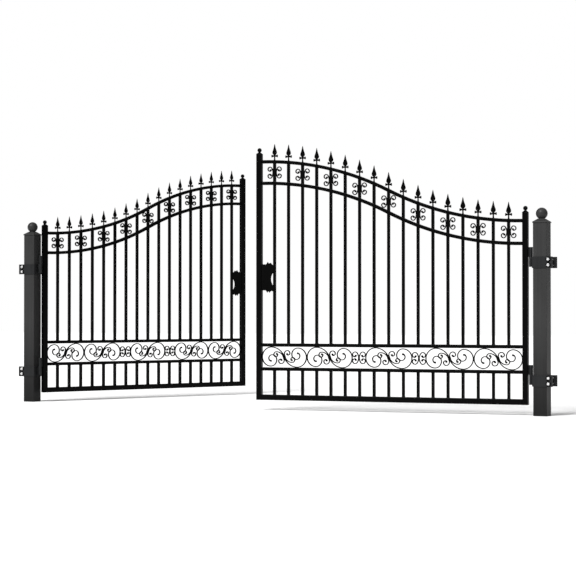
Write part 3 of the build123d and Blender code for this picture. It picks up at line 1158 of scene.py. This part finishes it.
@dataclass
class CarriedSolids:
    """Dresses the solids that stay: a finish, and edges softened as on rolled and coated steel."""

    edges: tuple[tuple[str, float], ...] = (
        ("post", 0.003),
        ("hinge_clamp", 0.001),
        ("hinge_knuckle", 0.0012),
        ("stile", 0.002),
        ("bottom_rail", 0.002),
        ("rail", 0.0015),
        ("pickets", 0.0012),
        ("caps", 0.0015),
        ("finials", 0.0008),
    )
    finishes: dict[str, bpy.types.Material] = field(default_factory=dict)
    same_point: float = 1e-5
    bends: int = 2
    sharp_over: float = 40.0

    def soften(self, name: str, node: bpy.types.Object) -> None:
        """Adds live modifiers that join the solid's triangles and round its edges.

        Args:
            name: Name of the solid.
            node: Its object.
        """
        width = next((size for ending, size in self.edges if name.endswith(ending)), None)
        if width is None:
            return
        weld = node.modifiers.new("join", "WELD")
        weld.merge_threshold = self.same_point
        bevel = node.modifiers.new("soft_edges", "BEVEL")
        bevel.width = width
        bevel.segments = self.bends
        bevel.limit_method = "ANGLE"
        bevel.angle_limit = math.radians(self.sharp_over)
        bevel.harden_normals = False

    def dress(self) -> None:
        """Gives every solid of the frame its finish and its softened edges."""
        for name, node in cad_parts.items():
            if "hinge_" in name and not name.endswith("stile"):
                finish = self.finishes["hinge"]
            elif name.endswith("post") or name == "post_caps":
                finish = self.finishes["post"]
            else:
                finish = self.finishes["leaf"]
            node.data.materials.clear()
            node.data.materials.append(finish)
            self.soften(name, node)
            log.info("%s wears %s", name, finish.name)


@dataclass(frozen=True)
class SoftSun:
    """A wide soft light that reaches the whole floor evenly.

    Attributes:
        name: Name of the light.
        turn: Degrees to the right of the gate's front.
        height: Degrees above the floor.
        strength: Light on a surface that faces it, in watts per square metre.
        softness: Width of the light as seen from the gate, in degrees.
    """

    name: str
    turn: float
    height: float
    strength: float
    softness: float
    place: tuple[float, float, float] = (2.2, -4.0, 5.0)

    def hang(self) -> None:
        """Adds the light to the scene."""
        light = bpy.data.lights.new(self.name, "SUN")
        light.energy = self.strength
        light.angle = math.radians(self.softness)
        holder = bpy.data.objects.new(self.name, light)
        holder.rotation_euler = (math.radians(90.0 - self.height), 0.0, math.radians(self.turn))
        holder.location = self.place
        bpy.context.scene.collection.objects.link(holder)


@dataclass
class Studio:
    """Pale floor, soft light from the front, a white surround and the camera."""

    camera_place: tuple[float, float, float] = (8.281, -11.661, 0.7323)
    camera_yaw: float = 26.93
    camera_tilt: float = 90.81
    lens: float = 107.51
    sensor: float = 36.0
    sight: float = 200.0
    floor_reach: float = 40.0
    floor_tones: tuple[float, float] = (0.86, 0.90)
    floor_roughness: float = 0.75
    floor_gloss: float = 0.1
    drift_scale: float = 0.8
    drift_dulls: float = 0.1
    surround: float = 0.3
    suns: tuple[SoftSun, ...] = (
        SoftSun("key", turn=-15.0, height=44.0, strength=4.4, softness=26.0),
        SoftSun("fill", turn=35.0, height=70.0, strength=0.5, softness=50.0),
    )

    def floor(self) -> None:
        """Lays a wide floor whose tone drifts a little, as painted board does."""
        shader = Shader("pale_floor")
        drift = shader.noise(self.drift_scale, detail=3.0)
        shader.set(
            Base_Color=shader.blend(drift, *(grey(tone) for tone in self.floor_tones)),
            Roughness=self.floor_roughness + drift * self.drift_dulls,
            Specular_IOR_Level=self.floor_gloss,
        )
        mesh = bpy.data.meshes.new("floor")
        corners = np.array([(-1, -1, 0), (1, -1, 0), (1, 1, 0), (-1, 1, 0)]) * self.floor_reach
        mesh.from_pydata(corners, [], [(0, 1, 2, 3)])
        mesh.materials.append(shader.material)
        ground = bpy.data.objects.new("floor", mesh)
        bpy.context.scene.collection.objects.link(ground)

    def sky(self) -> None:
        """Sets a plain surround that lights the gate softly and is seen white behind it."""
        world = bpy.data.worlds.new("surround")
        world.use_nodes = True
        nodes, links = world.node_tree.nodes, world.node_tree.links
        soft = nodes["Background"]
        white = nodes.new("ShaderNodeBackground")
        mix = nodes.new("ShaderNodeMixShader")
        for background, level in ((soft, self.surround), (white, 1.0)):
            background.inputs["Color"].default_value = grey(1.0)
            background.inputs["Strength"].default_value = level
        links.new(nodes.new("ShaderNodeLightPath").outputs["Is Camera Ray"], mix.inputs["Fac"])
        links.new(soft.outputs[0], mix.inputs[1])
        links.new(white.outputs[0], mix.inputs[2])
        links.new(mix.outputs[0], nodes["World Output"].inputs["Surface"])
        bpy.context.scene.world = world

    def camera(self) -> None:
        """Stands the camera where the photograph was taken from."""
        lens = bpy.data.cameras.new("camera")
        lens.lens = self.lens
        lens.sensor_width = self.sensor
        lens.sensor_fit = "HORIZONTAL"
        lens.clip_end = self.sight
        holder = bpy.data.objects.new("camera", lens)
        holder.location = self.camera_place
        holder.rotation_euler = (math.radians(self.camera_tilt), 0.0, math.radians(self.camera_yaw))
        bpy.context.scene.collection.objects.link(holder)
        bpy.context.scene.camera = holder

    def build(self) -> None:
        """Sets up the floor, the lights, the surround and the camera."""
        self.floor()
        self.sky()
        for sun in self.suns:
            sun.hang()
        self.camera()
        bpy.context.scene.view_settings.view_transform = "Standard"


def main() -> None:
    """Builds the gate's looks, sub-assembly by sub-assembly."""
    logging.basicConfig(level=logging.INFO, format="%(message)s")
    leaf_coat = PowderCoat("satin_black_coat", tone=0.0010, roughness=0.30, gloss=0.05, dust=0.003)
    post_coat = PowderCoat(
        "charcoal_coat", tone=0.024, roughness=0.45, gloss=0.16, dust=0.010, splash=0.1, painted_foot_shade=0.8
    )
    hinge_coat = PowderCoat("hinge_coat", tone=0.0135, roughness=0.38, gloss=0.14, dust=0.004, warmth=-0.04)
    leaf_black, post_charcoal, hinge_charcoal = (coat.make() for coat in (leaf_coat, post_coat, hinge_coat))
    zinc = BrightZinc("bright_zinc").make()

    finishes = {"leaf": leaf_black, "post": post_charcoal, "hinge": hinge_charcoal}
    CarriedSolids(finishes=finishes).dress()
    for side in Side:
        bars = LeafBars(LeafFrame(side))
        SpearPoints(bars).build(leaf_black)
        Scrollwork(bars).build(leaf_black)
        FilletWelds(bars).build(leaf_black)
        LockPlate(bars).build(leaf_black)
        ClampBolts(side).build(zinc, leaf_black)
    Studio().build()

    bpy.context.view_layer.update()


if __name__ == "__main__":
    main()
